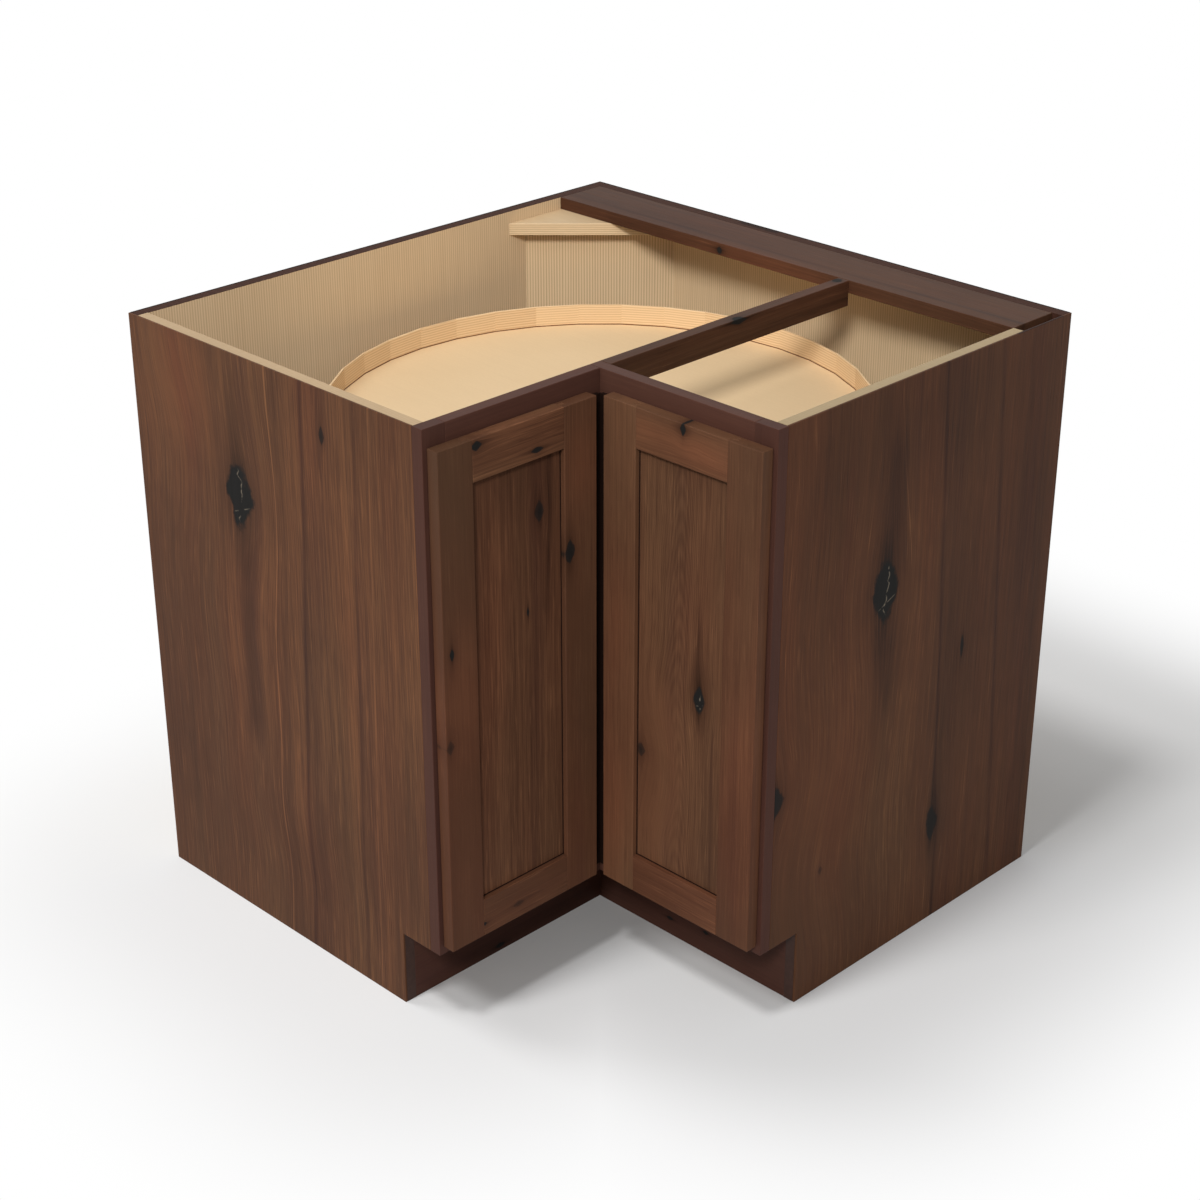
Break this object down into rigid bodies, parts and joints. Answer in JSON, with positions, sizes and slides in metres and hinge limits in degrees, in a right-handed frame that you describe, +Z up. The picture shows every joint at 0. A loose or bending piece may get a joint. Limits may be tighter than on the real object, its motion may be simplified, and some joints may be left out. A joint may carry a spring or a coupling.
{
  "type": "corner carousel cabinet",
  "caption": "L-shaped corner base cabinet with folding frame-and-panel doors, open top and kidney trays on a turning post.",
  "frame": {"origin": "centre of the square plan at floor level", "axes": "+Z up; the walls lie at -X and +Y; the two doors face +X (left leg) and -Y (right leg) in the inner corner at +X -Y"},
  "size_m": [0.9144, 0.9144, 0.8763],
  "materials": {
    "stained_veneer": "dark stained knotty veneer, satin",
    "stained_door_wood": "dark stained knotty wood, satin",
    "stained_frame_wood": "dark stained wood, satin",
    "maple_board": "pale maple faced board, satin",
    "tray_wood": "pale clear-coated wood, satin",
    "zinc_steel": "zinc plated",
    "nylon": "moulded",
    "soft_bumper": "matt"
  },
  "bodies": {
    "cabinet": {"left_end_core": "maple_board", "right_end_core": "maple_board", "left_end_skin": "stained_veneer", "right_end_skin": "stained_veneer", "left_back_panel": "maple_board", "right_back_panel": "maple_board", "diagonal_back_panel": "maple_board", "floor_deck": "maple_board", "left_toe_board": "stained_frame_wood", "right_toe_board": "stained_frame_wood", "left_stringer": "maple_board", "right_stringer": "maple_board", "deck_cleats": "maple_board", "corner_cleat": "maple_board", "rear_nailer": "stained_frame_wood", "cross_rail": "stained_frame_wood", "left_frame_stile": "stained_frame_wood", "left_top_rail": "stained_frame_wood", "left_bottom_rail": "stained_frame_wood", "right_frame_stile": "stained_frame_wood", "right_top_rail": "stained_frame_wood", "right_bottom_rail": "stained_frame_wood", "hinge_plates": "zinc_steel", "hinge_plate_screws": "zinc_steel", "hinge_arms": "zinc_steel", "floor_flange": "zinc_steel", "flange_screws": "zinc_steel", "spindle": "zinc_steel", "thrust_washer": "nylon"},
    "left_door": {"door_a_hinge_stile": "stained_door_wood", "door_a_inner_stile": "stained_door_wood", "door_a_top_rail": "stained_door_wood", "door_a_bottom_rail": "stained_door_wood", "door_a_panel": "stained_door_wood", "hinge_cups": "zinc_steel", "hinge_cup_screws": "zinc_steel", "fold_leaves_a": "zinc_steel", "fold_screws_a": "zinc_steel", "fold_pins": "zinc_steel"},
    "right_door": {"door_b_inner_stile": "stained_door_wood", "door_b_outer_stile": "stained_door_wood", "door_b_top_rail": "stained_door_wood", "door_b_bottom_rail": "stained_door_wood", "door_b_panel": "stained_door_wood", "fold_leaves_b": "zinc_steel", "fold_screws_b": "zinc_steel", "door_bumpers": "soft_bumper"},
    "carousel": {"post": "zinc_steel", "lower_bush": "nylon", "upper_bush": "nylon", "lower_hub": "zinc_steel", "upper_hub": "zinc_steel", "hub_screws": "zinc_steel", "lower_tray": "tray_wood", "lower_rim": "tray_wood", "upper_tray": "tray_wood", "upper_rim": "tray_wood", "post_cap": "nylon"}
  },
  "joints": [
    {"name": "left_door_swing", "type": "hinge", "parent": "cabinet", "child": "left_door", "pos_m": [0.17265, -0.45085, 0.48895], "axis": [0, 0, -1], "range_deg": [0, 165]},
    {"name": "door_fold", "type": "hinge", "parent": "left_door", "child": "right_door", "pos_m": [0.1526, -0.1526, 0.48895], "axis": [0, 0, 1], "range_deg": [0, 60]},
    {"name": "carousel_turn", "type": "hinge", "parent": "cabinet", "child": "carousel", "pos_m": [0, 0, 0.4], "axis": [0, 0, 1], "range_deg": [0, 165]}
  ],
  "couplings": [
    {"joint": "door_fold", "follows": "left_door_swing", "ratio": 0.3636},
    {"joint": "carousel_turn", "follows": "left_door_swing", "ratio": 1}
  ]
}
